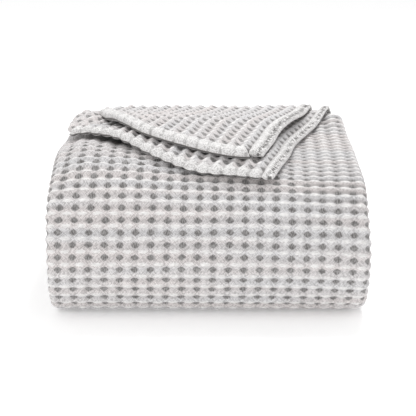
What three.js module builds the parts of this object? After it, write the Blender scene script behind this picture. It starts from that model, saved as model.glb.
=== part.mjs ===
// Folded waffle-weave throw blanket: a pack of sixteen layers with two corners of the cloth turned
// forward over the top as loose flaps. X runs across the pack, -Y is the rounded front fold, +Z is up.
import * as THREE from 'three';

// Driving dimensions, in millimetres.
const PACK_WIDTH = 340;
const PACK_DEPTH = 344;
const STACK_HEIGHT = 146;
const LAYER_COUNT = 16;
const GAP = 0.325;
const EDGE_ROUND = 3;
const SMALLEST_ROUND = 1;
const END_GAP = 0.3;
const CORE_HEM_WIDTH = 12;
const GROOVE = 2.2;
const THREAD = 1;
const THREAD_SINK = 0.3;
const FLAP_THICKNESS = 8.8;
const FLAP_REST_GAP = 0.4;
const TURN_LEAD = 4;
const TOP_END_INSET = 5;
const OPEN_END_INSET = 22;
const FLAP_BACK_Y = 169.5;
const UPPER_FLAP_RISE = 8;

// Worked out from the dimensions above.
const PITCH = STACK_HEIGHT / LAYER_COUNT;
const LAYER = PITCH - GAP;
const FRONT_RADIUS = STACK_HEIGHT / 2;
const FRONT_CENTRE_Y = FRONT_RADIUS - PACK_DEPTH / 2;
const WRAP_LAYERS = 4;
const REAR_RADIUS = (WRAP_LAYERS * 2 * PITCH - GAP) / 2;
const REAR_CENTRE_Y = PACK_DEPTH / 2 - REAR_RADIUS;
const REAR_START_Y = REAR_CENTRE_Y - TURN_LEAD;
const TOP_END_Y = PACK_DEPTH / 2 - TOP_END_INSET;
const OPEN_END_Y = PACK_DEPTH / 2 - OPEN_END_INSET;

// Plan outlines of the flaps: each edge starts at the flap's free corner. The side edge runs to the
// back of the pack, and the end edge runs to the left shoulder.
const LOWER_FLAP_PLAN = {
  sideEdge: [[68, -124], [78, -92], [90, -46], [100, 8], [120, 78], [157, FLAP_BACK_Y]],
  endEdge: [[68, -124], [27, -117], [-15, -110], [-52, -87], [-83, -59], [-112, -29], [-152, 2]],
  backLeft: [-156, FLAP_BACK_Y],
  hemWidth: 12,
};
const UPPER_FLAP_PLAN = {
  sideEdge: [[59, -90], [72, -40], [85, 11], [104, 84], [131, FLAP_BACK_Y]],
  endEdge: [[59, -90], [34, -94], [5, -87], [-28, -70], [-56, -54], [-80, -32], [-104, 22], [-132, 140]],
  backLeft: [-120, FLAP_BACK_Y],
  hemWidth: 16,
};

const clothMaterial = new THREE.MeshStandardMaterial({ color: 0xcdc9c7, roughness: 0.95, metalness: 0 });
const hemMaterial = new THREE.MeshStandardMaterial({ color: 0xd9d6d4, roughness: 0.95, metalness: 0 });
const threadMaterial = new THREE.MeshStandardMaterial({ color: 0xe6e4e2, roughness: 0.8, metalness: 0 });

const pack = new THREE.Group();

function addMesh(group, name, geometry, material) {
  const mesh = new THREE.Mesh(geometry, material);
  mesh.name = name;
  group.add(mesh);
}

// Extrudes a profile drawn in the Y-Z plane across the pack, centred on X, with rounded side edges.
function acrossPack(profile, width) {
  const straight = width - 2 * EDGE_ROUND;
  const geometry = new THREE.ExtrudeGeometry(profile, {
    depth: straight,
    steps: 1,
    curveSegments: 6,
    bevelThickness: EDGE_ROUND,
    bevelSize: EDGE_ROUND,
    bevelOffset: -EDGE_ROUND,
    bevelSegments: 2,
  });
  geometry.translate(0, 0, -straight / 2);
  const profileToPack = new THREE.Matrix4().makeBasis(
    new THREE.Vector3(0, 1, 0),
    new THREE.Vector3(0, 0, 1),
    new THREE.Vector3(1, 0, 0),
  );
  geometry.applyMatrix4(profileToPack);
  return geometry;
}

// Extrudes a plan outline upwards from a height above the flap's underside, with its edges rounded
// where asked.
function upFrom(outline, height, thickness, round) {
  const geometry = new THREE.ExtrudeGeometry(new THREE.Shape(outline), {
    depth: thickness - 2 * round,
    steps: 1,
    bevelEnabled: round > 0,
    bevelThickness: round,
    bevelSize: round,
    bevelOffset: -round,
    bevelSegments: 2,
  });
  geometry.translate(0, 0, height + round);
  return geometry;
}

// One layer that comes along the pack, turns at the front about mid-height and goes back again.
function frontFoldProfile(outerRadius, topEndY, bottomEndY) {
  const innerRadius = Math.max(outerRadius - LAYER, SMALLEST_ROUND);
  const middle = FRONT_RADIUS;
  const profile = new THREE.Shape();
  profile.moveTo(bottomEndY, middle - outerRadius);
  profile.lineTo(FRONT_CENTRE_Y, middle - outerRadius);
  profile.absarc(FRONT_CENTRE_Y, middle, outerRadius, 1.5 * Math.PI, 0.5 * Math.PI, true);
  profile.lineTo(topEndY, middle + outerRadius);
  profile.lineTo(topEndY, middle + innerRadius);
  profile.lineTo(FRONT_CENTRE_Y, middle + innerRadius);
  profile.absarc(FRONT_CENTRE_Y, middle, innerRadius, 0.5 * Math.PI, 1.5 * Math.PI, false);
  profile.lineTo(bottomEndY, middle - innerRadius);
  return profile;
}

// One layer's turn at the back, between the bottom run and the run above it.
function rearTurnProfile(outerRadius) {
  const innerRadius = Math.max(outerRadius - LAYER, SMALLEST_ROUND);
  const profile = new THREE.Shape();
  profile.moveTo(REAR_START_Y, REAR_RADIUS - outerRadius);
  profile.lineTo(REAR_CENTRE_Y, REAR_RADIUS - outerRadius);
  profile.absarc(REAR_CENTRE_Y, REAR_RADIUS, outerRadius, -0.5 * Math.PI, 0.5 * Math.PI, false);
  profile.lineTo(REAR_START_Y, REAR_RADIUS + outerRadius);
  profile.lineTo(REAR_START_Y, REAR_RADIUS + innerRadius);
  profile.lineTo(REAR_CENTRE_Y, REAR_RADIUS + innerRadius);
  profile.absarc(REAR_CENTRE_Y, REAR_RADIUS, innerRadius, 0.5 * Math.PI, -0.5 * Math.PI, true);
  profile.lineTo(REAR_START_Y, REAR_RADIUS - innerRadius);
  return profile;
}

// The hemmed end of one inner layer, at the back.
function openEndHemProfile(outerRadius) {
  const top = FRONT_RADIUS + outerRadius;
  const profile = new THREE.Shape();
  profile.moveTo(OPEN_END_Y + END_GAP, top - LAYER);
  profile.lineTo(OPEN_END_Y + END_GAP + CORE_HEM_WIDTH, top - LAYER);
  profile.lineTo(OPEN_END_Y + END_GAP + CORE_HEM_WIDTH, top);
  profile.lineTo(OPEN_END_Y + END_GAP, top);
  return profile;
}

function addWrapLayers() {
  const names = ['outer_wrap', 'wrap_layer_2', 'wrap_layer_3', 'wrap_layer_4'];
  names.forEach((name, i) => {
    const radius = FRONT_RADIUS - i * PITCH;
    const profile = frontFoldProfile(radius, TOP_END_Y, REAR_START_Y - END_GAP);
    addMesh(pack, name, acrossPack(profile, PACK_WIDTH), clothMaterial);
  });
}

function addCoreLayers() {
  for (let i = 0; i < WRAP_LAYERS; i += 1) {
    const radius = FRONT_RADIUS - (WRAP_LAYERS + i) * PITCH;
    const profile = frontFoldProfile(radius, OPEN_END_Y, REAR_START_Y - END_GAP);
    addMesh(pack, `core_layer_${i + 1}`, acrossPack(profile, PACK_WIDTH), clothMaterial);
    addMesh(pack, `core_end_hem_${i + 1}`, acrossPack(openEndHemProfile(radius), PACK_WIDTH), hemMaterial);
  }
}

function addRearTurns() {
  for (let i = 0; i < WRAP_LAYERS; i += 1) {
    const profile = rearTurnProfile(REAR_RADIUS - i * PITCH);
    addMesh(pack, `rear_turn_${i + 1}`, acrossPack(profile, PACK_WIDTH), clothMaterial);
  }
}

// Points along an edge, moved inwards by a distance and kept in front of the flap's back line. The
// side edge has its cloth on its left and the end edge has it on its right.
function insetEdge(curve, inset, side, startLength) {
  const steps = 12;
  const start = startLength / curve.getLength();
  return Array.from({ length: steps + 1 }, (_, i) => {
    const along = start + (1 - start) * (i / steps);
    const point = curve.getPointAt(along);
    const tangent = curve.getTangentAt(along);
    point.add(new THREE.Vector2(-tangent.y, tangent.x).multiplyScalar(side * inset));
    return new THREE.Vector2(point.x, Math.min(point.y, FLAP_BACK_Y));
  });
}

// A ribbon between two insets of one edge.
function edgeStrip(curve, side, fromInset, toInset, startLength) {
  const near = insetEdge(curve, fromInset, side, startLength);
  const far = insetEdge(curve, toInset, side, startLength);
  const outline = near.concat(far.reverse());
  return side > 0 ? outline : outline.reverse();
}

// The point that lies the same distance inside both edges at the flap's free corner.
function insetCorner(sideEdge, endEdge, inset) {
  const alongSide = sideEdge.getTangentAt(0);
  const alongEnd = endEdge.getTangentAt(0);
  const reach = inset / Math.abs(alongSide.cross(alongEnd));
  return sideEdge.getPointAt(0).add(alongSide.add(alongEnd).multiplyScalar(reach));
}

// How far along the end edge a strip starts, so that its inner corner clears the side hem.
function endStripStart(sideEdge, endEdge, clearance, stripInset) {
  const alongSide = sideEdge.getTangentAt(0);
  const alongEnd = endEdge.getTangentAt(0);
  const lean = Math.abs(alongSide.dot(alongEnd)) * stripInset;
  return (clearance + lean) / Math.abs(alongSide.cross(alongEnd));
}

const toCurve = (points) => new THREE.SplineCurve(points.map(([x, y]) => new THREE.Vector2(x, y)));

// A loose flap: its panel, the two hems that meet at the free corner, and the sewing lines that
// lie in the grooves between the panel and the hems. It slopes up from its free corner to the back.
function addFlap(name, plan, bottom, rise) {
  const flap = new THREE.Group();
  pack.add(flap);
  const sideEdge = toCurve(plan.sideEdge);
  const endEdge = toCurve(plan.endEdge);
  const leftOfEdge = 1;
  const rightOfEdge = -1;
  const { hemWidth } = plan;
  const panelInset = hemWidth + GROOVE;
  const panelStart = 2 * panelInset;
  const panel = [insetCorner(sideEdge, endEdge, panelInset)]
    .concat(insetEdge(sideEdge, panelInset, leftOfEdge, panelStart))
    .concat([new THREE.Vector2(...plan.backLeft)])
    .concat(insetEdge(endEdge, panelInset, rightOfEdge, panelStart).reverse());
  addMesh(flap, name, upFrom(panel, 0, FLAP_THICKNESS, EDGE_ROUND), clothMaterial);

  const sideHem = edgeStrip(sideEdge, leftOfEdge, 0, hemWidth, 0);
  const endStart = endStripStart(sideEdge, endEdge, panelInset, hemWidth);
  const endHem = edgeStrip(endEdge, rightOfEdge, 0, hemWidth, endStart);
  addMesh(flap, `${name}_side_hem`, upFrom(sideHem, 0, FLAP_THICKNESS, EDGE_ROUND), hemMaterial);
  addMesh(flap, `${name}_end_hem`, upFrom(endHem, 0, FLAP_THICKNESS, EDGE_ROUND), hemMaterial);

  const threadInset = hemWidth + (GROOVE - THREAD) / 2;
  const threadBottom = FLAP_THICKNESS - THREAD - THREAD_SINK;
  const sideThread = edgeStrip(sideEdge, leftOfEdge, threadInset, threadInset + THREAD, THREAD);
  const endThread = edgeStrip(endEdge, rightOfEdge, threadInset, threadInset + THREAD, endStart + GROOVE);
  addMesh(flap, `${name}_side_thread`, upFrom(sideThread, threadBottom, THREAD, 0), threadMaterial);
  addMesh(flap, `${name}_end_thread`, upFrom(endThread, threadBottom, THREAD, 0), threadMaterial);

  const cornerY = plan.sideEdge[0][1];
  flap.children.forEach((mesh) => mesh.geometry.translate(0, -cornerY, 0));
  flap.rotation.x = Math.atan2(rise, FLAP_BACK_Y - cornerY);
  flap.position.set(0, cornerY, bottom);
}

addWrapLayers();
addCoreLayers();
addRearTurns();
const lowerFlapBottom = STACK_HEIGHT + FLAP_REST_GAP;
const upperFlapBottom = lowerFlapBottom + FLAP_THICKNESS + FLAP_REST_GAP;
addFlap('lower_flap', LOWER_FLAP_PLAN, lowerFlapBottom, 0);
addFlap('upper_flap', UPPER_FLAP_PLAN, upperFlapBottom, UPPER_FLAP_RISE);

export default pack;
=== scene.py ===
"""A folded waffle-weave throw: a soft pack of layers with two hemmed corners turned over the top."""
import math

import bpy
import numpy as np
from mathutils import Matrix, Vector


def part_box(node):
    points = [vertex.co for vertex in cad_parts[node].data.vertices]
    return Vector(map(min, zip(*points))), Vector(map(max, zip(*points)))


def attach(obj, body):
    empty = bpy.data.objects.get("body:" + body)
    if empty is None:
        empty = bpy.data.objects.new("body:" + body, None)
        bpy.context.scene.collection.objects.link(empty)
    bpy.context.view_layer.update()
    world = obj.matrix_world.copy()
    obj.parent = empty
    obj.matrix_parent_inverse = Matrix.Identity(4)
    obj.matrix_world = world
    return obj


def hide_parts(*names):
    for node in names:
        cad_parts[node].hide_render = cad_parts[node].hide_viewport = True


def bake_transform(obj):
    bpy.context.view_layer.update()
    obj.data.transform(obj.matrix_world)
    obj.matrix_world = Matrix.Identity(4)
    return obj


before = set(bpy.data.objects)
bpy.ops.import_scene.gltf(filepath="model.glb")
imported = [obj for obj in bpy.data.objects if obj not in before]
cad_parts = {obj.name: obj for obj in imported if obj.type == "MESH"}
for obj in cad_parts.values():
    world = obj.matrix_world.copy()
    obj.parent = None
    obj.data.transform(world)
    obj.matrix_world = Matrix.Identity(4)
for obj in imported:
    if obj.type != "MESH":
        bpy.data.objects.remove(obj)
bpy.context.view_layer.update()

MM = 0.001

# The pack's own sizes, in millimetres, read from the frame.
wrap_low, wrap_high = (np.array(corner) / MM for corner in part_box("outer_wrap"))
turn_high = np.array(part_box("rear_turn_1")[1]) / MM
HALF_WIDTH = wrap_high[0]
STACK_TOP = wrap_high[2]
FRONT_Y = wrap_low[1]
MIDDLE_Z = STACK_TOP / 2
FRONT_CENTRE_Y = FRONT_Y + MIDDLE_Z
TURN_RADIUS = turn_high[2] / 2
TURN_CENTRE_Y = turn_high[1] - TURN_RADIUS
PAIR = STACK_TOP / 8

# The cloth, in millimetres. One waffle cell is CELL_ALONG by CELL_ACROSS, and its ridges run along the
# first. RELIEF is the height of the ridges. The flaps have their own values. HEM_STITCH is the pitch of
# the stitches along a side hem.
CELL_ALONG = 16.1
CELL_ACROSS = 13.1
FLAP_CELL_ACROSS = 14.0
RELIEF = 5.0
FLAP_RELIEF = 5.6
HEM_STITCH = 4.2

# How far the dark dots lie up the back of their hollows, in cells, and how much painted shade
# darkens the flaps' hollows beyond what their height alone gives.
FLAP_DOT_LEAN = 0.1
STACK_DOT_LEAN = 0.09
FLAP_PAINTED_SHADE = 0.3

# Where the weave of the stack starts, in cells, and how much its rows bow towards the right.
WEAVE_START_ACROSS = 0.54
WEAVE_START_ALONG = 0.42
ROW_BOW = 0.00015

# The air round each pair of layers, and how far each pair is narrower than the one outside it.
LAYER_AIR = 0.25
PAIR_STEP_IN = 1.4

# How the pack has settled: each soft lobe or dip of its top as its height, its centre and its spread,
# in millimetres. The stack alone has the hollow, under the flaps' left ends.
BACK_RIGHT_LOBE = (14.0, (160, 150), (26, 50))
LEFT_LOBE = (5.0, (-150, -20), (48, 90))
BACK_LEFT_DIP = (-6.0, (-178, 160), (24, 60))
HOLLOW = (-5.0, (-88, 0), (34, 42))
FRONT_RISE = 16.6

# How far its sides spread behind the front, and how far its top, sides and front wander.
SIDE_SPREAD = 3.0
TOP_WANDER = 1.2
SIDE_WANDER = 1.6
FRONT_WANDER = 1.3


# ---------------------------------------------------------------- small maths

def smooth(x):
    """0 below 0, 1 above 1 and a soft step between."""
    t = np.clip(x, 0.0, 1.0)
    return t * t * (3.0 - 2.0 * t)


def bump(x, y, centre, spread):
    """A round hill of height 1."""
    return np.exp(-(((x - centre[0]) / spread[0]) ** 2) - ((y - centre[1]) / spread[1]) ** 2)


def hill(x, y, lobe):
    """A round hill from its height, its centre and its spread."""
    height, centre, spread = lobe
    return height * bump(x, y, centre, spread)


def wander(x, y, scale, seed):
    """A smooth, seeded wandering value of about -1 to 1 over a plane."""
    octaves = 4
    rng = np.random.default_rng(seed)
    total = np.zeros(np.broadcast(x, y).shape)
    for _ in range(octaves):
        angle, phase = rng.uniform(0, 2 * np.pi, 2)
        wave = rng.uniform(0.7, 1.4) / scale
        total += np.sin((x * np.cos(angle) + y * np.sin(angle)) * wave * 2 * np.pi + phase)
    return total / octaves


def spline(points, samples=24):
    """A smooth curve through a few points, as many points with their distance along it."""
    p = np.array(points, dtype=float)
    p = np.vstack([2 * p[0] - p[1], p, 2 * p[-1] - p[-2]])
    t = np.linspace(0, 1, samples, endpoint=False)[:, None]
    parts = []
    for a, b, c, d in zip(p[:-3], p[1:-2], p[2:-1], p[3:]):
        cubic = (3 * b - a - 3 * c + d) * t ** 3 + (2 * a - 5 * b + 4 * c - d) * t ** 2
        parts.append(0.5 * (2 * b + (c - a) * t + cubic))
    curve = np.vstack(parts + [p[-2:-1]])
    steps = np.linalg.norm(np.diff(curve, axis=0), axis=1)
    return curve, np.concatenate([[0], np.cumsum(steps)])


def along(curve, distances, where):
    """Points of a curve at some distances along it, carried on straight past its ends."""
    where = np.asarray(where, dtype=float)
    inside = np.clip(where, 0, distances[-1])
    found = np.stack([np.interp(inside, distances, curve[:, k]) for k in range(2)], axis=-1)
    first = (curve[1] - curve[0]) / distances[1]
    last = (curve[-1] - curve[-2]) / (distances[-1] - distances[-2])
    before = np.minimum(where, 0)[..., None]
    beyond = np.maximum(where - distances[-1], 0)[..., None]
    return found + before * first + beyond * last


def directions(curve, distances, where):
    """Unit vectors along a curve at some distances along it."""
    step = 0.5
    ahead = along(curve, distances, where + step) - along(curve, distances, where - step)
    return ahead / np.linalg.norm(ahead, axis=1)[:, None]


def leftwards(vectors):
    """Vectors in a plane turned a quarter turn to the left."""
    return np.stack([-vectors[:, 1], vectors[:, 0]], axis=-1)


def quad_volume(points, quads):
    """A number that is positive where four-cornered faces look outwards."""
    a, b, c, d = (points[quads[:, k]] for k in range(4))
    return np.einsum("ij,ij->i", np.cross(c - a, d - b), (a + b + c + d) / 4).sum()


# ---------------------------------------------------------------- the weave

def waffle(u, v, lumpy):
    """Height of the weave from 0 in a dark dot to 1 on a pale float. Dots are at whole numbers."""
    across = 0.5 - 0.5 * np.cos(2 * np.pi * v)
    length = 0.5 - 0.5 * np.cos(2 * np.pi * u)
    ridge = across ** 0.95 * (1 - lumpy + lumpy * length)
    floor = (1 - across) * 0.36 * length ** 0.8
    return ridge + floor


def woven(u, v, seed, lumpy=0.28):
    """The weave with the small unevenness of a real cloth."""
    du = 0.05 * wander(u, v, 3.1, seed) + 0.02 * wander(u, v, 0.9, seed + 1)
    dv = 0.05 * wander(u, v, 3.7, seed + 2) + 0.02 * wander(u, v, 1.1, seed + 3)
    height = 1.0 + 0.10 * wander(u, v, 1.7, seed + 4)
    return waffle(u + du, v + dv, lumpy) * height, u + du, v + dv


def settle(p, own_lobes=()):
    """The pack's soft, uneven set, applied alike to every piece so that layers stay in order, with
    any lobes of the piece's own."""
    x, y, z = p[..., 0].copy(), p[..., 1].copy(), p[..., 2].copy()
    high = np.clip(z / STACK_TOP, 0, 1)
    depth = (y - FRONT_Y) / (-2 * FRONT_Y)
    lobes = sum(hill(x, y, lobe) for lobe in (BACK_RIGHT_LOBE, LEFT_LOBE, BACK_LEFT_DIP, *own_lobes))
    lobes += front_rise(x, y)
    sway = TOP_WANDER * wander(x, y, 170, 11)
    z += high * (lobes + sway * smooth(high))
    outwards = np.sign(x) * smooth(np.abs(x) / HALF_WIDTH)
    x += outwards * SIDE_SPREAD * smooth(depth * 1.6) * smooth(high * 2)
    side = smooth((np.abs(x) - HALF_WIDTH + 30) / 30)
    x += side * SIDE_WANDER * wander(y, z, 120, 12) * smooth(high * 3)
    y += FRONT_WANDER * wander(x, z, 150, 13) * smooth(high * 4)
    return np.stack([x, y, z], axis=-1)


def front_rise(x, y):
    """How far the front of the pack's top stands up, more and more towards the left shoulder."""
    ramp = np.sin(np.pi / 2 * np.clip((y + 150) / 110, 0, 1))
    fall = smooth((y + 48) / 125)
    leftwards_share = smooth((115 - x) / 230) ** 0.8
    shoulder = 1 - 0.6 * smooth((-x - 130) / 38)
    return FRONT_RISE * ramp * (1 - fall) * leftwards_share * shoulder


# ---------------------------------------------------------------- meshes

def ring(reach, radius, top_step, bottom_count):
    """One loop round a flat layer of cloth that reaches as far to each side: along its top, round its
    right edge, back underneath and round its left edge. Gives each point's place across, its share of
    the normal and of the edge's direction, and its distance along the cloth, which jumps in the middle
    underneath, where it isn't seen."""
    arc_count = 12
    top = np.linspace(-reach, reach, max(2, int(round(2 * reach / top_step)) + 1))
    under = np.linspace(reach, -reach, bottom_count)
    turn = np.linspace(0, np.pi, arc_count + 2)[1:-1]
    place = np.concatenate([top, np.full(arc_count, reach), under, np.full(arc_count, -reach)])
    normal = np.concatenate([np.ones(len(top)), np.cos(turn), -np.ones(len(under)), -np.cos(turn)])
    outward = np.concatenate([np.zeros(len(top)), np.sin(turn), np.zeros(len(under)), -np.sin(turn)])
    under_right = reach + np.pi * radius + (reach - under)
    under_left = -reach - np.pi * radius - (under + reach)
    under_cloth = np.where(under > 0, under_right, under_left)
    left_turn = -reach - radius * (np.pi - turn)
    cloth = np.concatenate([top, reach + radius * turn, under_cloth, left_turn])
    return place, normal, outward, cloth


def stations(spans):
    """Distances along a piece from (start, end, step) spans."""
    parts = []
    for start, end, step in spans:
        count = max(1, int(round((end - start) / step)))
        parts.append(np.linspace(start, end, count, endpoint=False))
    return np.concatenate(parts + [[spans[-1][1]]])


def shell(name, points, weave):
    """A closed mesh from loops of points, in millimetres, with its place in the weave on each point."""
    rows, cols = points.shape[:2]
    index = np.arange(rows * cols).reshape(rows, cols)
    right = np.roll(index, -1, axis=1)
    quads = np.stack([index[:-1], right[:-1], right[1:], index[1:]], axis=-1).reshape(-1, 4)
    flat = points.reshape(-1, 3)
    inside_out = quad_volume(flat, quads) < 0
    if inside_out:
        quads = quads[:, ::-1]
    caps = [index[0], index[-1][::-1]] if inside_out else [index[0][::-1], index[-1]]
    faces = [*quads.tolist(), *[cap.tolist() for cap in caps]]
    return mesh_object(name, flat, faces, weave)


def rounding(gap, radius, least):
    """1 away from an edge, falling to least at it along a quarter circle."""
    x = 1 - np.clip(gap / radius, 0, 1)
    return least + (1 - least) * np.sqrt(np.maximum(1 - x * x, 0))


# ---------------------------------------------------------------- the stack

# The outside of the pack in side view, from the bottom of its rear turn, round the front and to the
# back of its top, as (y, z).
OUTLINE = [
    (TURN_CENTRE_Y, 0), (60, 0), (-20, 0), (-80, 0), (-116, 1), (-141, 8), (-160, 28),
    (FRONT_Y + 1, 57), (FRONT_Y + 1, 80), (-162, 104), (-146, 123), (-120, 136.5),
    (-88, 143), (-40, 146), (40, 146.5), (120, 146), (172, 146),
]


def nested(depth):
    """The side view of a layer whose middle lies depth of the way in, from 0 outside to 1."""
    outline, _ = spline(OUTLINE)
    spine_y = np.maximum(outline[:, 0], FRONT_CENTRE_Y)
    spine = np.stack([spine_y, np.full(len(outline), MIDDLE_Z)], axis=-1)
    return outline + (spine - outline) * depth


def measured(path):
    """A path with the distance along it to each of its points."""
    steps = np.linalg.norm(np.diff(path, axis=0), axis=1)
    return path, np.concatenate([[0], np.cumsum(steps)])


def rear_arc(radius):
    """The half ring behind the bottom run, from its upper end down to the bottom."""
    angle = np.linspace(np.pi / 2, -np.pi / 2, 40)
    y = TURN_CENTRE_Y + radius * np.cos(angle)
    z = TURN_RADIUS + radius * np.sin(angle)
    return np.stack([y, z], axis=-1)[:-1]


def layer_path(depth, back_y, turns):
    """The side view of a layer depth of the way in, its top run ending at back_y, with the rear turn if
    it has one."""
    path = nested(depth)
    outline, _ = spline(OUTLINE)
    kept = np.where((outline[:, 0] < back_y) | (outline[:, 1] < MIDDLE_Z))[0][-1]
    path = path[: kept + 1]
    if turns:
        path = np.vstack([rear_arc(TURN_RADIUS - depth * 4 * PAIR), path])
    return path


def pair_of_layers(name, path, outside, spans, edge, top_step, bottom_count, seed, skew):
    """Two layers joined along both sides by their folds, swept along a path in side view. Its ridges
    lean by skew across the cloth."""
    half_thickness = PAIR / 2 - LAYER_AIR
    curve, distances = measured(path)
    where = stations(spans(distances[-1]))
    centre = along(curve, distances, where)
    outwards = leftwards(directions(curve, distances, where))
    place, normal, outward, cloth = ring(edge - half_thickness, half_thickness, top_step, bottom_count)
    cloth_along = np.interp(where, distances, measured(outside)[1])
    height, u, v = stack_weave(cloth_along, cloth, skew, seed)
    thick = half_thickness * rounding(where[-1] - where, half_thickness, 0.3)
    stretched = 1 - 0.4 * np.abs(outward)[None, :]
    rise = (thick - RELIEF * 0.5)[:, None] + RELIEF * (0.25 + stretched * (height - 0.5))
    x = place[None, :] + outward[None, :] * rise
    y = centre[:, 0][:, None] + outwards[:, 0][:, None] * normal[None, :] * rise
    z = centre[:, 1][:, None] + outwards[:, 1][:, None] * normal[None, :] * rise
    points = settle(np.stack([x, y, z], axis=-1), [HOLLOW])
    lowest = 0.15
    points[..., 2] = np.maximum(points[..., 2], lowest)
    return shell(name, points, stack_colouring(height, u, v, centre[:, 1][:, None], place[None, :]))


def stack_weave(cloth_along, cloth, skew, seed):
    """The weave over the distances along and across a pair of layers."""
    s, w = np.meshgrid(cloth_along, cloth, indexing="ij")
    u = (w - skew * s) / CELL_ALONG + WEAVE_START_ACROSS
    v = (s + ROW_BOW * np.maximum(w, 0) ** 2) / CELL_ACROSS + WEAVE_START_ALONG
    return woven(u, v, seed)


def stack_colouring(height, u, v, z, x):
    """The weave values of a pair of layers. Facing up, its dots lean back and its valleys carry a little
    painted shade; on the right of the top its dots stay put and its valleys carry deeper painted shade
    instead."""
    facing_up = smooth((z - 95) / 40)
    top_right_share = facing_up * smooth((x - 70) / 50)
    top_elsewhere = facing_up - top_right_share
    # Painted shade: the third value is the weave's height, lowered on faces that look up and most on the
    # right of the top, so the material darkens the valleys there.
    depth = 1 - (1 - height) * (1 + 1.4 * top_right_share) - 0.2 * top_elsewhere
    return np.stack([u, v - STACK_DOT_LEAN * top_elsewhere, depth], axis=-1)


def stack_pieces():
    """The pack itself: four folded pairs of layers, the outer two carried on round the rear turn."""
    turn_length = np.pi * (TURN_RADIUS - PAIR / 2)
    bottom_end = turn_length + 235

    def outer_spans(total):
        """Fine where it is seen, at the rear turn and from the front on, and coarse underneath."""
        return [(0, turn_length, 1.5), (turn_length, bottom_end, 4.4), (bottom_end, total, 1.45)]

    def inner_spans(total):
        """Fine only at the open end."""
        return [(0, total - 24, 3.0), (total - 24, total, 1.6)]

    # Each pair's name, how far back its top run goes, the CAD nodes that it shows, its spans, the step
    # across its top, the points across its underside and its skew.
    outer_nodes = ["outer_wrap", "wrap_layer_2", "rear_turn_1", "rear_turn_2"]
    inner_nodes = ["wrap_layer_3", "wrap_layer_4", "rear_turn_3", "rear_turn_4"]
    pairs = [
        ("outer_wrap", 150, outer_nodes, outer_spans, 2.0, 8, 0.03),
        ("inner_wrap", 163, inner_nodes, inner_spans, 2.2, 18, 0.0),
        ("core_outer", 149, ["core_layer_1", "core_layer_2"], inner_spans, 18.0, 18, 0.0),
        ("core_inner", 147, ["core_layer_3", "core_layer_4"], inner_spans, 18.0, 18, 0.0),
    ]
    for order, (name, back_y, nodes, spans, top_step, bottom_count, skew) in enumerate(pairs):
        path = layer_path((order + 0.5) / 4, back_y, order < 2)
        outside = layer_path(order / 4 + 0.01, back_y, order < 2)
        edge = HALF_WIDTH - 1.0 - PAIR_STEP_IN * order
        seed = 20 + order
        piece = pair_of_layers(name, path, outside, spans, edge, top_step, bottom_count, seed, skew)
        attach(piece, "stack")
        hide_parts(*nodes)
        dress(piece, "waffle_cloth")


def dress(piece, slot):
    """Give a piece its material and its slot."""
    makers = {"waffle_cloth": waffle_cloth, "hem_cloth": hem_cloth, "sewing_thread": sewing_thread}
    if slot not in MATERIALS:
        MATERIALS[slot] = makers[slot]()
    piece.data.materials.append(MATERIALS[slot])


def core_hems():
    """The four hemmed open ends of the core, seen at the back."""
    knot, band_width = 5.3, 5.0
    for number in range(1, 5):
        low, high = (np.array(corner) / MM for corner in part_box(f"core_end_hem_{number}"))
        half_y = (high[1] - low[1]) / 2 + 1.0
        half_z = (high[2] - low[2]) / 2 - 0.2
        centre_y, centre_z = (low[1] + high[1]) / 2 + 1.0, (low[2] + high[2]) / 2
        ring_y, ring_z = squarish_ring(56)
        x = np.linspace(low[0], high[0], 260)
        taper = (rounding(x - x[0], 5.0, 0.3) * rounding(x[-1] - x, 5.0, 0.3))[:, None]
        band = 1 - 0.13 * (0.5 + 0.5 * np.cos(2 * np.pi * ring_y[None, :] * half_y / band_width))
        knots = 1 + 0.05 * np.sin(2 * np.pi * x[:, None] / knot + 9 * ring_y[None, :])
        sway = 1.2 * wander(x, 0 * x, 140, 60 + number)[:, None]
        y = centre_y + sway + ring_y[None, :] * half_y * taper * knots
        z = centre_z + ring_z[None, :] * half_z * band * taper
        points = settle(np.stack([np.broadcast_to(x[:, None], y.shape), y, z], axis=-1), [HOLLOW])
        u = points[..., 0] / knot
        v = np.broadcast_to(ring_y[None, :] * half_y / band_width, u.shape)
        piece = shell(f"core_end_hem_{number}", points, np.stack([u, v, 0 * u], axis=-1))
        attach(piece, "stack")
        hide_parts(f"core_end_hem_{number}")
        dress(piece, "hem_cloth")


def squarish_ring(count):
    """A loop between a circle and a square, reaching from -1 to 1 both ways."""
    angle = np.linspace(0, 2 * np.pi, count, endpoint=False)
    roundness = 0.6
    level = np.sign(np.cos(angle)) * np.abs(np.cos(angle)) ** roundness
    upright = np.sign(np.sin(angle)) * np.abs(np.sin(angle)) ** roundness
    return level, upright


# ---------------------------------------------------------------- the flaps

# Each flap is drawn flat first: x across and t back along the pack's top, then on round the roll at
# its back. The side edge runs back from the free corner and the end edge runs off to the left.
OUTLINE_CURVE, _ = spline(OUTLINE)
TOP_RUN = OUTLINE_CURVE[OUTLINE_CURVE[:, 1] > MIDDLE_Z]
ROLL_Y = 155.0

# How high the middle of each flap's cloth lies on the pack, how much fuller each is along its length,
# and the soft lobes and dips of their own, as height, centre and spread.
LOWER_LIE = 5.0
UPPER_LIE = 15.2
LOWER_FULL = 7.0
UPPER_FULL = 9.0
ARCH = (2.0, (-90, -22), (30, 46))
LOWER_BACK_LOBE = (1.6, (146, 140), (16, 30))
LOWER_LEFT_DIP = (-3.0, (-112, 60), (22, 45))


def pack_top(y):
    """Height of the pack's top face before it settles."""
    return np.interp(y, TOP_RUN[:, 0], TOP_RUN[:, 1])


def crown(y):
    """How full the flaps stand along their length, between the free corners and the roll."""
    return bump(0 * y, y, (0, 58), (1, 62))


def arch(x, y):
    """How far both flaps stand up off the pack towards their left ends."""
    return hill(x, y, ARCH)


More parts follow.
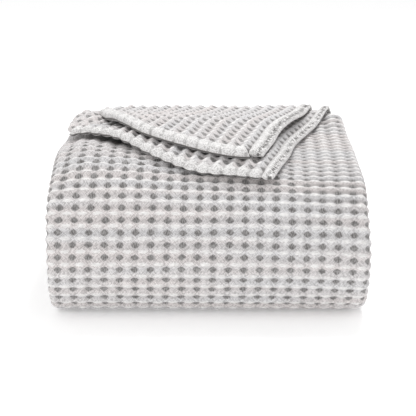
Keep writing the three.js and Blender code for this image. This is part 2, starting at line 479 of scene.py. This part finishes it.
def lower_height(x, y):
    """The lower flap lies on the pack by its side hem, stands fuller inside, climbs at the back left and
    drops over the pack's left shoulder."""
    edge = np.interp(y, (-125, 0, 80, 170), (68, 98, 120, 157))
    full = LOWER_FULL * crown(y) * smooth((edge - x) / 70)
    full += hill(x, y, LOWER_BACK_LOBE) + hill(x, y, LOWER_LEFT_DIP)
    climb = 6.0 * smooth((y - 85) / 55) * smooth((-x - 125) / 20)
    fall = 1.4 * smooth((-x - 110) / 30) * smooth((40 - y) / 60)
    return pack_top(y) + LOWER_LIE + arch(x, y) + full + climb - fall


def upper_height(x, y):
    """The upper flap lies on the lower one and stands clear of it at its left end."""
    fall = 4.0 * smooth((-x - 95) / 45) * smooth((y - 60) / 50)
    return pack_top(y) + UPPER_LIE + 0.4 * arch(x, y) + UPPER_FULL * crown(y) - fall


# A flap's side, end and left edges in plan, the height of its middle on the pack and how high it lies
# under the roll, how far the roll reaches back, its hems' width, half the thickness of its end hem, how
# far that hem's ribs stand out, and how far above the roll's underside its cloth bends and over how far.
FLAPS = {
    "lower_flap": {
        "side": [(68, -125), (78, -92), (90, -46), (100, 8), (123, 76), (157, 170), (172, 210)],
        "end": [(68, -125), (27, -117), (-15, -110), (-52, -87), (-83, -59), (-112, -29), (-138, -10),
                (-158, 2)],
        "left": [(-163, 40), (-164, 110), (-158, 150), (-157, 190)],
        "height": lower_height,
        "under": STACK_TOP - PAIR / 4,
        "reach": 5.5,
        "hem": 12.5,
        "fold": 4.3,
        "knobs": 2.1,
        "bend_rise": 4.6,
        "bend_reach": 3.0,
        "seed": 40,
    },
    "upper_flap": {
        "side": [(59, -90), (72, -40), (84, 11), (109, 80), (129, 158), (141, 222)],
        "end": [(59, -90), (34, -94), (5, -87), (-28, -70), (-56, -54), (-76, -38), (-91, -10),
                (-104, 22), (-120, 85), (-135, 146)],
        "left": [(-136, 175), (-137, 190), (-138, 220)],
        "height": upper_height,
        "under": STACK_TOP - 3 * PAIR / 4,
        "reach": 15.0,
        "hem": 16.5,
        "fold": 5.3,
        "knobs": 0.35,
        "bend_rise": 14.0,
        "bend_reach": 12.0,
        "seed": 50,
    },
}

# The way inwards from a flap's edges: 1 to the left of the edge as it is drawn and -1 to the right.
INWARDS = {"side": 1, "end": -1}

# The upper flap crosses both hinges, so its cloth is in two pieces that meet on top of the roll.
SEAM_T = ROLL_Y

# How much of a hem's half thickness lies above the middle of its cloth, and how much below.
HEM_ABOVE = 1.12
HEM_BELOW = 0.68


def rolled(flap, x, t):
    """The middle of a flap's cloth: over the top and the left side, round the roll and a way under."""
    # Near the roll the height is eased, so that the top runs level into it.
    gap = np.maximum(ROLL_Y - t, 0)
    easing = 16
    y_flat = ROLL_Y - gap * gap / (gap + easing)
    least_height = 5
    top = np.maximum(flap["height"](x, y_flat), flap["under"] + least_height)

    # The roll is half an ellipse, and the cloth goes on forward beneath it.
    half = (top - flap["under"]) / 2
    mean = (half + flap["reach"]) / 2
    angle = np.clip((t - ROLL_Y) / mean, 0, np.pi)
    past = np.maximum(t - ROLL_Y - np.pi * mean, 0)
    y = np.where(t < ROLL_Y, t, ROLL_Y + flap["reach"] * np.sin(angle) - past)
    z = flap["under"] + half + half * np.cos(angle)

    # Beyond the pack's left side the cloth turns down round a quarter circle.
    radius = PAIR / 2 + 5
    beyond = np.maximum(-x - (HALF_WIDTH - PAIR / 2), 0)
    tip = np.minimum(beyond / radius, np.pi / 2)
    drop = radius * (1 - np.cos(tip)) + np.maximum(beyond - radius * np.pi / 2, 0)
    x = x + beyond - radius * np.sin(tip)
    return np.stack([x + 0 * t, y, z - drop * smooth((ROLL_Y - t) / 35)], axis=-1)


def roll_end(flap):
    """How far back the flat cloth reaches, to just under the roll."""
    top = flap["height"](np.array([0.0]), np.array([ROLL_Y]))[0]
    return ROLL_Y + np.pi * ((top - flap["under"]) / 2 + flap["reach"]) / 2 + 3.5


def lifted(flap, plan, rise):
    """Points a given height off the middle of the cloth, over (x, t) plan points."""
    x, t = plan[..., 0], plan[..., 1]
    step = 0.4
    across = rolled(flap, x + step, t) - rolled(flap, x - step, t)
    back = rolled(flap, x, t + step) - rolled(flap, x, t - step)
    normal = np.cross(across, back)
    normal /= np.linalg.norm(normal, axis=-1, keepdims=True)
    return settle(rolled(flap, x, t) + normal * rise[..., None])


def weave_place(flap, plan):
    """Distance along and off the side edge, for every plan point: the ridges run along that edge."""
    curve, distances = spline(flap["side"], 40)
    tangent = np.gradient(curve, axis=0)
    tangent /= np.linalg.norm(tangent, axis=1)[:, None]
    flat = plan.reshape(-1, 2)
    nearest = np.concatenate([
        np.argmin(((part[:, None, :] - curve[None, :, :]) ** 2).sum(-1), axis=1)
        for part in np.array_split(flat, len(flat) // 4000 + 1)
    ])
    offset = flat - curve[nearest]
    s = distances[nearest] + (offset * tangent[nearest]).sum(-1)
    d = offset[:, 1] * tangent[nearest, 0] - offset[:, 0] * tangent[nearest, 1]
    return s.reshape(plan.shape[:-1]), d.reshape(plan.shape[:-1])


def edge_places(flap, edge, where):
    """Points at some distances along a flap's edge and the ways from them into the flap."""
    curve, distances = spline(flap[edge])
    inwards = INWARDS[edge] * leftwards(directions(curve, distances, where))
    return along(curve, distances, where), inwards


def edge_length(flap, edge):
    """The length of a flap's edge."""
    _, distances = spline(flap[edge])
    return distances[-1]


def distance_back(flap, t):
    """How far along a flap's side edge it reaches a distance back."""
    curve, distances = spline(flap["side"])
    return np.interp(t, curve[:, 1], distances)


def inset(flap, edge, stop):
    """A few points along the inside of a hem, from clear of the free corner to a distance along."""
    start, count = 40, 9
    here, inwards = edge_places(flap, edge, np.linspace(start, stop, count))
    return here + flap["hem"] * inwards


def panel_corner(flap):
    """Where the two hems meet, in from the free corner."""
    side = np.array(flap["side"][1], float) - flap["side"][0]
    end = np.array(flap["end"][1], float) - flap["end"][0]
    side /= np.linalg.norm(side)
    end /= np.linalg.norm(end)
    sine = side[0] * end[1] - side[1] * end[0]
    return np.array(flap["side"][0], float) + flap["hem"] * (side + end) / sine


def even(curve_points, fractions):
    """Points at fractions of the way along a smooth curve."""
    curve, distances = spline(curve_points)
    return along(curve, distances, np.asarray(fractions) * distances[-1])


def edge_first(length, step, last):
    """Fractions from 0 to 1 in even steps, closer together at the rounded first edge and, if asked, at
    the last one."""
    inner = np.linspace(0, 1, int(length / step) + 1)
    near = np.array((0.0, 0.25, 0.8, 1.6, 2.7)) / length
    clear = near[-1] + 0.5 * step / length
    keep = inner[(inner > clear) & (inner < 1 - clear * last)]
    return np.concatenate([near, keep, 1 - near[::-1] if last else [1.0]])


def skin(rows, cols, kept):
    """Faces of a closed sheet over the kept cells of a grid: its top, its underside and its rim."""
    index = np.arange(rows * cols).reshape(rows, cols)
    quads = np.stack([index[:-1, :-1], index[:-1, 1:], index[1:, 1:], index[1:, :-1]], axis=-1)[kept]
    start = quads.reshape(-1)
    finish = np.roll(quads, -1, axis=1).reshape(-1)
    count = rows * cols
    rim = ~np.isin(start * count + finish, finish * count + start)
    start, finish = start[rim], finish[rim]
    walls = np.stack([finish, start, start + count, finish + count], axis=-1)
    return np.concatenate([quads, quads[:, ::-1] + count, walls])


def vertex_normals(points, faces):
    """Smooth normals at the points of four-cornered faces."""
    a, b, c, d = (points[faces[:, k]] for k in range(4))
    across = np.cross(c - a, d - b)
    normals = np.zeros(points.shape)
    for k in range(4):
        np.add.at(normals, faces[:, k], across)
    return normals / np.maximum(np.linalg.norm(normals, axis=1), 1e-9)[:, None]


def slab(names, top, under, weave_top, weave_under, parts=None):
    """Closed sheets from two grids of points that share their border, one for each set of cells."""
    rows, cols = top.shape[:2]
    points = np.concatenate([top.reshape(-1, 3), under.reshape(-1, 3)])
    weave = np.concatenate([weave_top.reshape(-1, 3), weave_under.reshape(-1, 3)])
    every_cell = np.ones((rows - 1, cols - 1), dtype=bool)
    whole = skin(rows, cols, every_cell)
    inside_out = quad_volume(points, whole) < 0
    normals = vertex_normals(points, whole[:, ::-1] if inside_out else whole)
    made = []
    for name, kept in zip(names, parts or [every_cell]):
        faces = skin(rows, cols, kept)
        faces = faces[:, ::-1] if inside_out else faces
        used, faces = np.unique(faces, return_inverse=True)
        piece = mesh_object(name, points[used], faces.reshape(-1, 4).tolist(), weave[used])
        piece.data.normals_split_custom_set_from_vertices(normals[used].tolist())
        made.append(piece)
    return made


def mesh_object(name, points, faces, weave):
    """A smooth mesh from points in millimetres, carrying its place in the weave."""
    mesh = bpy.data.meshes.new(name)
    mesh.from_pydata((points * MM).tolist(), [], faces)
    places = mesh.attributes.new("weave", "FLOAT_VECTOR", "POINT")
    places.data.foreach_set("vector", weave.reshape(-1).astype(np.float32))
    mesh.polygons.foreach_set("use_smooth", np.ones(len(mesh.polygons), dtype=bool))
    mesh.update()
    piece = bpy.data.objects.new(name, mesh)
    bpy.context.collection.objects.link(piece)
    return piece


def panel_plan(flap, end_t):
    """A grid of plan points over a flap's panel, filled in between its four edges: across from its side
    edge, and back to end_t."""
    corner = panel_corner(flap)
    right = [corner, *inset(flap, "side", distance_back(flap, end_t))]
    right[-1][1] = end_t
    front = [corner, *inset(flap, "end", edge_length(flap, "end"))]
    front[-1] = np.array(flap["end"][-1]) + (1.5, flap["hem"])
    left_curve, _ = spline([front[-1], *flap["left"]])
    every_eighth = left_curve[left_curve[:, 1] < end_t - 8][::8]
    left = [*every_eighth, (left_curve[-1, 0], end_t)]
    shares_across = edge_first(360, 1.75, True)
    shares_back = edge_first(330, 1.85, False)
    right_line = even(right, shares_back)[:, None, :]
    left_line = even(left, shares_back)[:, None, :]
    front_line = even(front, shares_across)[None, :, :]
    back_x = right[-1][0] + (left[-1][0] - right[-1][0]) * shares_across
    back_line = np.stack([back_x, 0 * back_x + end_t], axis=-1)[None, :, :]
    across, back = np.meshgrid(shares_across, shares_back)
    a, b = across[..., None], back[..., None]
    plan = (1 - a) * right_line + a * left_line + (1 - b) * front_line + b * back_line
    plan -= (1 - a) * (1 - b) * right_line[0] + a * (1 - b) * left_line[0]
    plan -= (1 - a) * b * right_line[-1] + a * b * left_line[-1]
    return plan


def cell_areas(plan):
    """The flat area of each cell of a grid of plan points."""
    rising = plan[1:, 1:] - plan[:-1, :-1]
    falling = plan[1:, :-1] - plan[:-1, 1:]
    return np.abs(rising[..., 0] * falling[..., 1] - rising[..., 1] * falling[..., 0]) / 2


def panel_softness(plan):
    """1 inside a panel, falling where it tucks under its hems and at its left edge."""
    to_right = np.linalg.norm(plan - plan[:, :1], axis=-1)
    to_front = np.linalg.norm(plan - plan[:1, :], axis=-1)
    to_left = np.linalg.norm(plan - plan[:, -1:], axis=-1)
    return rounding(to_right, 2.2, 0.45) * rounding(to_front, 2.2, 0.45) * rounding(to_left, 3.6, 0.05)


def flap_panel(name):
    """The waffle panel of a flap, inside its hems, with its flat size and area in front of the seam."""
    flap = FLAPS[name]
    plan = panel_plan(flap, roll_end(flap))
    s, d = weave_place(flap, plan)
    inward = (d - flap["hem"]) / FLAP_CELL_ACROSS
    height, u, v = woven(s / CELL_ALONG, inward, flap["seed"], 0.16)
    under_height, under_u, under_v = woven(s / CELL_ALONG + 0.5, inward + 0.5, flap["seed"] + 5)
    soft = panel_softness(plan)
    drawn_over = 1 - 0.3 * smooth((plan[..., 1] - 100) / 40)
    top = lifted(flap, plan, soft * (0.8 + FLAP_RELIEF * (0.5 + drawn_over * (height - 0.5))))
    free = smooth((ROLL_Y - plan[..., 1]) / 20)
    under = lifted(flap, plan, -soft * (1.2 + 1.9 * under_height * (0.2 + 0.8 * free)))
    # Painted shade: the top's third value is lowered, so the material darkens the flaps' hollows more
    # than the stack's.
    weave_top = np.stack([u, v - FLAP_DOT_LEAN, height - FLAP_PAINTED_SHADE], axis=-1)
    weave_under = np.stack([under_u, under_v, under_height], axis=-1)
    middle = (plan[1:, 1:] + plan[:-1, :-1]) / 2
    if name == "upper_flap":
        ahead = middle[..., 1] < SEAM_T
        parts = [ahead, ~ahead]
    else:
        ahead = np.ones(middle.shape[:2], dtype=bool)
        parts = [ahead]
    made = slab([f"{name}_panel", f"{name}_roll"], top, under, weave_top, weave_under, parts)
    flat = (np.ptp(d[:-1, :-1][ahead]) * MM, np.ptp(s[:-1, :-1][ahead]) * MM)
    return made, flat, cell_areas(plan)[ahead].sum() * MM * MM


def hem_strip(name, part, edge, start, stop, capped=(True, True)):
    """A hem: a strip along an edge with its outer edge rounded. An end hem is ribbed and its ribs carry
    on the panel's ridges. A side hem is banded along its length."""
    flap = FLAPS[name]
    hem = flap["hem"]
    ribbed = edge == "end"
    where = np.linspace(start, stop, int((stop - start) / 1.5))
    near_edge = [0.0, 0.15, 0.5, 1.1, 1.9]
    near_panel = [hem - 1.2, hem - 0.6, hem - 0.15]
    q = np.concatenate([near_edge, np.arange(2.8, hem - 1.5, 0.9), near_panel])[None, :]
    here, inwards = edge_places(flap, edge, where)
    base = here[:, None, :] + q[..., None] * inwards[:, None, :]
    _, d = weave_place(flap, base)

    # How far the ribs or stitches push the edge out and swell the hem, and how much of its thickness
    # is left in the groove beside the panel.
    if ribbed:
        mid_hem = d[:, 8:9]
        rib = (0.5 - 0.5 * np.cos(2 * np.pi * (mid_hem - hem) / FLAP_CELL_ACROSS + 0 * q)) ** 0.75
        half = ribbed_half(flap, q)
        knobs, swell, left_in_groove = flap["knobs"], 1.5 * flap["knobs"], 0.85
    else:
        rib = 0.5 + 0.5 * np.sin(2 * np.pi * where[:, None] / HEM_STITCH + 0 * q)
        half = banded_half(flap, q)
        knobs, swell, left_in_groove = 0.5, 0.35, 0.45
    push = knobs * (rib - 0.5) * (1 - smooth(q / 7))
    plan = base - push[..., None] * inwards[:, None, :]
    ends = np.ones((len(where), 1))
    if capped[0]:
        ends *= rounding(where - where[0], 4.0, 0.1)[:, None]
    if capped[1]:
        ends *= rounding(where[-1] - where, 4.0, 0.1)[:, None]
    outer = rounding(q, 4.2, 0.03)
    groove = rounding(hem - q, 1.6, left_in_groove)
    rise = ends * outer * groove * (half + swell * (rib - 0.6))
    top = lifted(flap, plan, HEM_ABOVE * rise)
    under = lifted(flap, plan, -HEM_BELOW * rise)
    weave_top, weave_under = hem_weave(hem, where[:, None], q, d, ribbed)
    return slab([f"{name}_{part}"], top, under, weave_top, weave_under)[0]


def ribbed_half(flap, q):
    """Half the thickness of an end hem, a distance in from its edge."""
    return flap["fold"] + 0.5 * bump(q, 0 * q, (5.5, 0), (3.5, 1))


def banded_half(flap, q):
    """Half the thickness of a side hem: a thick band on the inner side, a sunk line of stitches and a
    thin band at the outer edge."""
    across = q / flap["hem"]
    thick_band = 2.5 * bump(across, 0 * q, (0.64, 0), (0.24, 1))
    thin_band = 0.9 * bump(across, 0 * q, (0.1, 0), (0.09, 1))
    return 2.3 + thick_band + thin_band


def hem_weave(hem, where, q, d, ribbed):
    """The weave values of a hem's top and underside. The third is painted shade: a dark line under a
    ribbed hem's edge, and dark speckles along a banded one's line of stitches."""
    if ribbed:
        u, v = 0.5, (d - hem) / FLAP_CELL_ACROSS
        shade_top, shade_under = 0.0, 2 * (1 - smooth((q - 0.5) / 2.5))
    else:
        u, v = where / HEM_STITCH, np.minimum((hem - q) / 4.6, 0.5)
        shade_top = shade_under = 1.3 * bump(q, 0, (0.3 * hem, 0), (0.2 * hem, 1))
    weave_top = np.stack([u + 0 * d, v + 0 * d, shade_top + 0 * d], axis=-1)
    weave_under = np.stack([u + 0 * d, v + 0 * d, shade_under + 0 * d], axis=-1)
    return weave_top, weave_under


def stitches(name, part, edge, start, stop):
    """Sewing thread along the inner line of a hem: a row of small sunk stitches joined below."""
    flap = FLAPS[name]
    pitch, radius = 4.4, 0.42
    where = np.linspace(start, stop, int((stop - start) / 0.7))
    here, inwards = edge_places(flap, edge, where)
    line = here + flap["hem"] * inwards
    turns = np.linspace(0, 2 * np.pi, 8, endpoint=False)
    hop = 0.5 - 0.5 * np.cos(2 * np.pi * where / pitch)
    plan = line[:, None, :] + radius * np.cos(turns)[None, :, None] * inwards[:, None, :]
    rise = (1.2 + 1.5 * hop ** 0.5)[:, None] + radius * np.sin(turns)[None, :]
    points = lifted(flap, plan, rise)
    weave = np.zeros(points.shape)
    weave[..., 0] = where[:, None]
    return shell(f"{name}_{part}", points, weave)


def bend(piece, name):
    """Bake the place of a piece of a flap into its mesh."""
    if "roll" in piece.name or name == "lower_flap":
        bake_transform(piece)
    else:
        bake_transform(piece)


def flap_pieces():
    """Both flaps with their hems and threads, the lower one on the pack and the upper one on it."""
    for name, flap in FLAPS.items():
        stop = distance_back(flap, roll_end(flap))
        seam = distance_back(flap, SEAM_T + 2)
        end_stop = edge_length(flap, "end")
        cloth, flat, area = flap_panel(name)
        hem = flap["hem"]
        hems = {"end_hem": [hem_strip(name, "end_hem", "end", hem * 0.9, end_stop)]}
        threads = {"end_thread": [stitches(name, "end_thread", "end", hem, end_stop - 4)]}
        if name == "upper_flap":
            hems["side_hem"] = [
                hem_strip(name, "side_hem", "side", 0.0, seam, (True, False)),
                hem_strip(name, "side_hem_roll", "side", seam, stop, (False, False)),
            ]
            threads["side_thread"] = [
                stitches(name, "side_thread", "side", hem, seam),
                stitches(name, "side_thread_roll", "side", seam, stop),
            ]
        else:
            hems["side_hem"] = [hem_strip(name, "side_hem", "side", 0.0, stop, (True, False))]
            threads["side_thread"] = [stitches(name, "side_thread", "side", hem, stop)]
        for piece in cloth:
            dress(piece, "waffle_cloth")
            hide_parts(name)
            bend(piece, name)
        for slot, parts in (("hem_cloth", hems), ("sewing_thread", threads)):
            for part, pieces in parts.items():
                for piece in pieces:
                    dress(piece, slot)
                    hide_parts(f"{name}_{part}")
                    bend(piece, name)


# ---------------------------------------------------------------- materials

class Nodes:
    """Short words for building a material's nodes."""

    def __init__(self, name):
        self.material = bpy.data.materials.new(name)
        self.material.use_nodes = True
        self.tree = self.material.node_tree
        self.shader = self.tree.nodes["Principled BSDF"]

    def add(self, kind, **settings):
        node = self.tree.nodes.new(kind)
        for key, value in settings.items():
            setattr(node, key, value)
        return node

    def plug(self, socket, value):
        if isinstance(value, bpy.types.NodeSocket):
            self.tree.links.new(value, socket)
        else:
            socket.default_value = value

    def math(self, operation, a, b=0.0, c=0.0, clamp=False):
        node = self.add("ShaderNodeMath", operation=operation, use_clamp=clamp)
        for socket, value in zip(node.inputs, (a, b, c)):
            self.plug(socket, value)
        return node.outputs[0]

    def flip(self, value):
        """One less a value."""
        return self.math("SUBTRACT", 1.0, value)

    def mix(self, factor, a, b, blend="MIX"):
        node = self.add("ShaderNodeMix", data_type="RGBA", blend_type=blend)
        self.plug(node.inputs["Factor"], factor)
        self.plug(node.inputs["A"], a)
        self.plug(node.inputs["B"], b)
        return node.outputs["Result"]

    def step(self, value, low, high):
        """0 below low, 1 above high and a soft step between."""
        node = self.add("ShaderNodeMapRange", interpolation_type="SMOOTHSTEP")
        self.plug(node.inputs["Value"], value)
        self.plug(node.inputs["From Min"], low)
        self.plug(node.inputs["From Max"], high)
        return node.outputs["Result"]

    def vector(self, x, y, z=0.0):
        node = self.add("ShaderNodeCombineXYZ")
        for socket, value in zip(node.inputs, (x, y, z)):
            self.plug(socket, value)
        return node.outputs[0]

    def noise(self, vector, scale, detail=2.0, roughness=0.5):
        node = self.add("ShaderNodeTexNoise")
        self.plug(node.inputs["Vector"], vector)
        node.inputs["Scale"].default_value = scale
        node.inputs["Detail"].default_value = detail
        node.inputs["Roughness"].default_value = roughness
        return node.outputs["Fac"]


def to_nearest(n, value):
    """Distance from a value to the nearest whole number."""
    return n.math("ABSOLUTE", n.math("SUBTRACT", value, n.math("ROUND", value)))


# The materials made so far, by slot.
MATERIALS = {}

# The cloth's colours: its ground, the pale floats on its ridges, the dark dots in its hollows and the
# closer cloth of its hems, each between a darker and a lighter yarn, the sewing thread, and the tints
# that the ground drifts between. The darker ground colour is also the painted shade in the valleys,
# the lighter dot colour the painted shade in the deepest hollows and the darker dot colour the
# painted shade on the hems.
GROUND_DARK_AND_SHADE = (0.46, 0.445, 0.44, 1)
GROUND_LIGHT = (0.85, 0.835, 0.825, 1)
FLOAT_DARK = (0.66, 0.645, 0.635, 1)
FLOAT_LIGHT = (0.88, 0.87, 0.86, 1)
DOT_DARK_AND_SHADE = (0.15, 0.143, 0.14, 1)
DOT_LIGHT_AND_SHADE = (0.38, 0.37, 0.365, 1)
HEM_DARK = (0.50, 0.485, 0.48, 1)
HEM_LIGHT = (0.88, 0.87, 0.86, 1)
THREAD = (0.72, 0.71, 0.70, 1)
COOL = (0.97, 0.98, 1.0, 1)
WARM = (1.0, 0.965, 0.965, 1)


def fibres(n, x, y, size):
    """Fine crossing yarn strokes over a surface, x and y in millimetres."""
    rising = n.math("MULTIPLY", n.math("ADD", x, y), 1.0 / size)
    falling = n.math("MULTIPLY", n.math("SUBTRACT", x, y), 1.0 / size)
    one = n.noise(n.vector(n.math("MULTIPLY", rising, 0.22), falling), 1.0, 2, 0.6)
    other = n.noise(n.vector(rising, n.math("MULTIPLY", falling, 0.22), 7.0), 1.0, 2, 0.6)
    return n.math("ADD", n.math("MULTIPLY", one, 0.5), n.math("MULTIPLY", other, 0.5))


def weave_values(n):
    """The three values that each piece's mesh carries: its place in the weave and a third from which the
    material paints shade.
    """
    weave = n.add("ShaderNodeAttribute", attribute_name="weave")
    parts = n.add("ShaderNodeSeparateXYZ")
    n.plug(parts.inputs[0], weave.outputs["Vector"])
    return parts.outputs[0], parts.outputs[1], parts.outputs[2]


def oval(n, from_u, from_v, half_u, half_v, power):
    """A value that grows from 0 in the middle of a shape to about 1 at its outline and on beyond it."""
    u = n.math("POWER", n.math("MULTIPLY", from_u, 1 / half_u), power)
    v = n.math("POWER", n.math("MULTIPLY", from_v, 1 / half_v), power)
    return n.math("ADD", u, v)


def waffle_cloth():
    """Light heathered cotton with a dark dot in each hollow and a pale float on each ridge."""
    n = Nodes("waffle_cloth")
    u, v, height = weave_values(n)
    x = n.math("MULTIPLY", u, CELL_ALONG)
    y = n.math("MULTIPLY", v, CELL_ACROSS)
    ragged = n.math("MULTIPLY", n.math("SUBTRACT", n.noise(n.vector(x, y), 0.75, 2), 0.5), 0.9)

    # The dots lie at whole numbers of both and the floats half way between.
    from_dot_u, from_dot_v = to_nearest(n, u), to_nearest(n, v)
    diamond = n.math("ADD", oval(n, from_dot_u, from_dot_v, 0.29, 0.29, 1.35), ragged)
    dot = n.flip(n.step(diamond, 0.68, 1.12))
    from_float_u = n.math("SUBTRACT", 0.5, from_dot_u)
    from_float_v = n.math("SUBTRACT", 0.5, from_dot_v)
    lens = oval(n, from_float_u, from_float_v, 0.34, 0.17, 2.0)
    lens = n.math("ADD", lens, n.math("MULTIPLY", ragged, 1.6))
    pale = n.flip(n.step(lens, 0.1, 1.3))

    # The yarns' unevenness: crossing strokes, level and upright streaks and a slow drift of tint.
    strokes = fibres(n, x, y, 1.5)
    level = n.noise(n.vector(n.math("MULTIPLY", x, 0.25), n.math("MULTIPLY", y, 0.9)), 1.0, 2, 0.6)
    uprights = n.noise(n.vector(x, n.math("MULTIPLY", y, 0.3)), 0.9, 2, 0.6)
    drift = n.noise(n.vector(n.math("MULTIPLY", u, 0.08), v), 0.8, 1)

    # The ground is darker round each float, and painted shade darkens it in the valleys, most where they
    # are deepest.
    ground = n.mix(n.step(strokes, 0.40, 0.58), GROUND_DARK_AND_SHADE, GROUND_LIGHT)
    outline = n.math("MULTIPLY", n.step(lens, 0.9, 1.3), n.flip(n.step(lens, 1.5, 2.3)))
    ground = n.mix(n.math("MULTIPLY", outline, 0.35), ground, GROUND_DARK_AND_SHADE)
    valley_painted_shade = n.flip(n.step(height, 0.4, 0.85))
    ground = n.mix(n.math("MULTIPLY", valley_painted_shade, 0.36), ground, GROUND_DARK_AND_SHADE)
    deep_painted_shade = n.flip(n.step(height, -0.5, 0.25))
    ground = n.mix(n.math("MULTIPLY", deep_painted_shade, 0.8), ground, DOT_LIGHT_AND_SHADE)
    tint = n.mix(n.step(drift, 0.35, 0.65), COOL, WARM)
    ground = n.mix(1.0, ground, tint, "MULTIPLY")
    float_tone = n.mix(n.step(level, 0.34, 0.66), FLOAT_DARK, FLOAT_LIGHT)
    dot_tone = n.mix(n.step(uprights, 0.35, 0.65), DOT_DARK_AND_SHADE, DOT_LIGHT_AND_SHADE)
    colour = n.mix(pale, ground, float_tone)
    colour = n.mix(dot, colour, dot_tone)
    n.plug(n.shader.inputs["Base Color"], colour)

    yarn = n.math("ADD", n.math("MULTIPLY", strokes, 0.8), n.math("MULTIPLY", level, 0.4))
    finish_cotton(n, yarn, 0.8)
    return n.material


def finish_cotton(n, yarn, strength):
    """Raise the yarns a little and make the surface soft and matte."""
    raised = n.add("ShaderNodeBump")
    raised.inputs["Strength"].default_value = strength
    raised.inputs["Distance"].default_value = 0.0014
    n.plug(raised.inputs["Height"], yarn)
    n.plug(n.shader.inputs["Normal"], raised.outputs[0])
    n.shader.inputs["Roughness"].default_value = 0.92
    n.shader.inputs["Specular IOR Level"].default_value = 0.15
    n.shader.inputs["Sheen Weight"].default_value = 0.2
    n.shader.inputs["Sheen Roughness"].default_value = 0.6


def hem_cloth():
    """The same cotton turned over and sewn: closer, with painted shade in dark lines between its bands
    or ribs, in speckles along a side hem's stitches and under a ribbed hem's edge.
    """
    n = Nodes("hem_cloth")
    u, v, dark = weave_values(n)
    place = n.add("ShaderNodeTexCoord").outputs["Object"]
    strands = n.noise(place, 620.0, 3, 0.65)
    patches = n.noise(place, 230.0, 2, 0.6)
    tone = n.mix(n.step(strands, 0.32, 0.64), HEM_DARK, HEM_LIGHT)
    # Painted shade: dark lines in the grooves between bands or ribs, broken up in patches.
    line = n.flip(n.step(to_nearest(n, v), 0.04, 0.22))
    gap = n.math("MULTIPLY", n.math("MULTIPLY", line, 0.5), n.step(patches, 0.38, 0.58))
    tone = n.mix(gap, tone, DOT_DARK_AND_SHADE)
    # Painted shade from the third value: speckled on a side hem, and speckled then solid in a line under
    # a ribbed hem's edge.
    ragged = n.math("ADD", n.math("MULTIPLY", to_nearest(n, u), 0.5), patches)
    shade_speckle = n.flip(n.step(ragged, 0.54, 0.66))
    tone = n.mix(n.math("MULTIPLY", shade_speckle, dark, clamp=True), tone, DOT_DARK_AND_SHADE)
    tone = n.mix(n.step(dark, 1.3, 1.9), tone, DOT_DARK_AND_SHADE)
    n.plug(n.shader.inputs["Base Color"], tone)
    finish_cotton(n, strands, 0.6)
    return n.material


def sewing_thread():
    """Pale, matte sewing thread."""
    n = Nodes("sewing_thread")
    n.shader.inputs["Base Color"].default_value = THREAD
    n.shader.inputs["Roughness"].default_value = 0.8
    return n.material


# ---------------------------------------------------------------- camera, floor and light

def camera():
    """A long lens looking a little down on the pack's front."""
    elevation = math.radians(17)
    distance = 1.2
    target = Vector((0, -0.155, 0.125))
    data = bpy.data.cameras.new("camera")
    data.sensor_width = 36
    data.lens = 100.817
    data.clip_start = 0.05
    holder = bpy.data.objects.new("camera", data)
    bpy.context.collection.objects.link(holder)
    holder.location = target + distance * Vector((0, -math.cos(elevation), math.sin(elevation)))
    holder.rotation_euler = (math.pi / 2 - elevation, 0, 0)
    bpy.context.scene.camera = holder


def floor():
    """A plain pale floor, lit a little from within so that it stays clean right to its far end."""
    mesh = bpy.data.meshes.new("floor")
    mesh.from_pydata([(-40, -40, 0), (40, -40, 0), (40, 40, 0), (-40, 40, 0)], [], [(0, 1, 2, 3)])
    piece = bpy.data.objects.new("floor", mesh)
    bpy.context.collection.objects.link(piece)
    n = Nodes("floor")
    n.shader.inputs["Base Color"].default_value = (0.97, 0.97, 0.97, 1)
    n.shader.inputs["Roughness"].default_value = 0.8
    n.shader.inputs["Emission Color"].default_value = (1, 1, 1, 1)
    n.shader.inputs["Emission Strength"].default_value = 0.2
    piece.data.materials.append(n.material)


def area_light(name, place, target, size, power):
    """A rectangular light at a place, turned to a target."""
    data = bpy.data.lights.new(name, "AREA")
    data.shape = "RECTANGLE"
    data.size, data.size_y = size
    data.energy = power
    light = bpy.data.objects.new(name, data)
    light.location = place
    light.rotation_euler = (Vector(target) - Vector(place)).to_track_quat("-Z", "Y").to_euler()
    bpy.context.collection.objects.link(light)


def lights():
    """Even studio light from all round, with a broad soft box overhead and behind."""
    world = bpy.data.worlds.new("studio")
    world.use_nodes = True
    world.node_tree.nodes["Background"].inputs["Color"].default_value = (1, 1, 1, 1)
    world.node_tree.nodes["Background"].inputs["Strength"].default_value = 0.78
    bpy.context.scene.world = world
    area_light("overhead", (0.3, 0.55, 1.5), (0, 0, 0.1), (0.5, 0.5), 12)
    area_light("fill", (-1.0, -1.3, 1.2), (0, 0, 0.08), (1.2, 1.2), 7)
    bpy.context.scene.view_settings.view_transform = "Standard"


camera()
stack_pieces()
core_hems()
flap_pieces()
floor()
lights()
